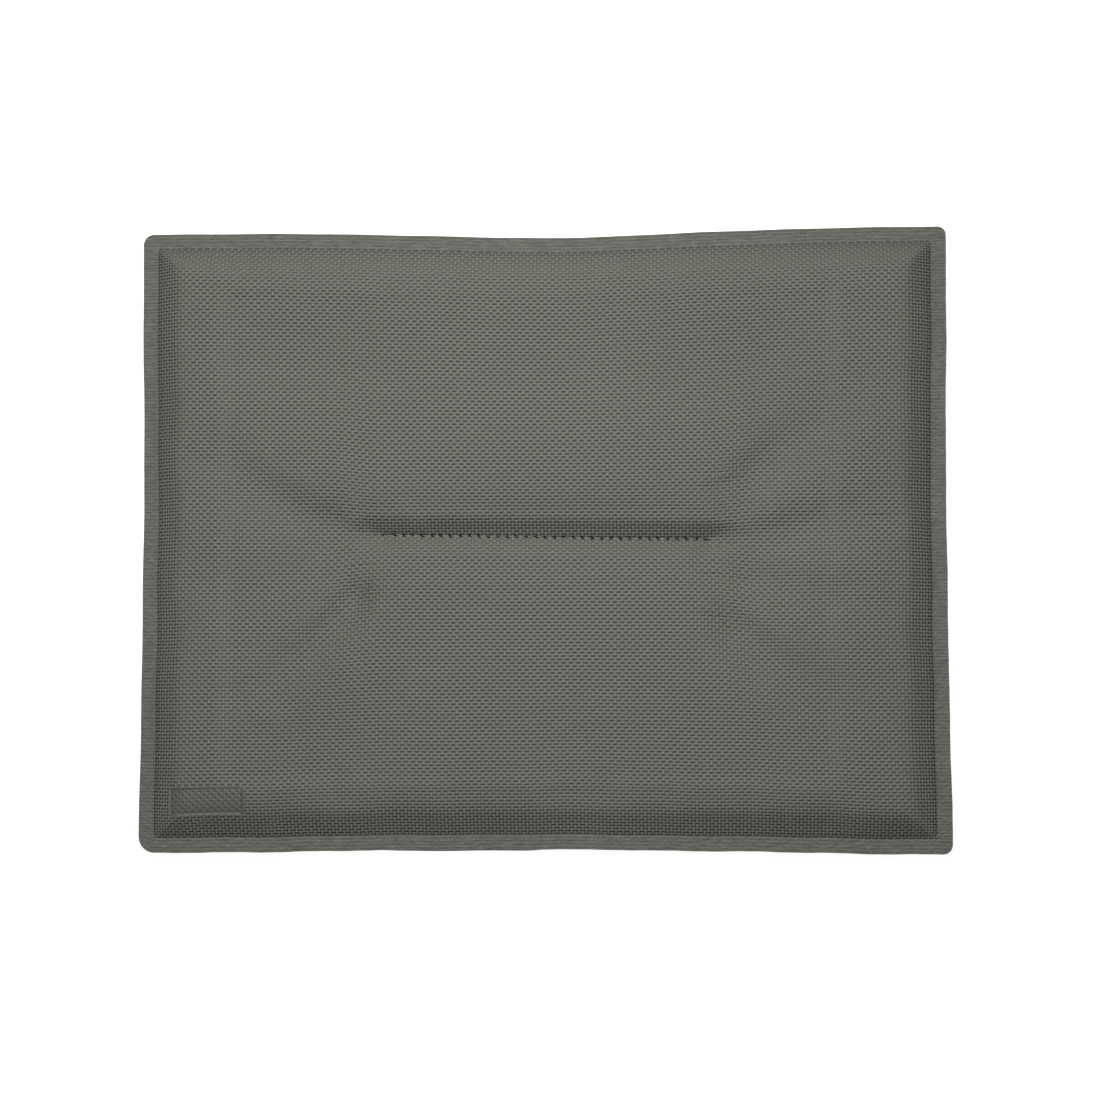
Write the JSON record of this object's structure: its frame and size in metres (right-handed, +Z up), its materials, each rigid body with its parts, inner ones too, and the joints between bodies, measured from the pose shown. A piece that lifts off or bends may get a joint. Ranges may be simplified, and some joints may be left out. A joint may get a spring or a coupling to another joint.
{
  "type": "kneeling pad",
  "caption": "Thin padded kneeling or seat pad: foam slab between two welded sheets of vinyl-coated mesh, with a flat welded edge and a short stitched line across the middle.",
  "frame": {"origin": "centre of the footprint, on the plane that the underside rests on", "axes": "+X along the long side, parallel to the stitched line; +Y to the back, away from the corner patch; +Z up out of the face that is used"},
  "size_m": [0.38, 0.294, 0.0182],
  "materials": {
    "mesh_sheet": "vinyl-coated plain weave, satin",
    "fused_vinyl": "pressed and fused, satin",
    "foam": "open-cell foam, matte",
    "sewing_thread": "twisted filament, slight sheen",
    "vinyl_film": "pressed film, satin"
  },
  "bodies": {
    "root": {"top_cover": "mesh_sheet", "bottom_cover": "mesh_sheet", "edge_weld": "fused_vinyl", "foam_core": "foam", "needle_thread": "sewing_thread", "bobbin_thread": "sewing_thread", "label_patch": "vinyl_film"}
  },
  "joints": []
}
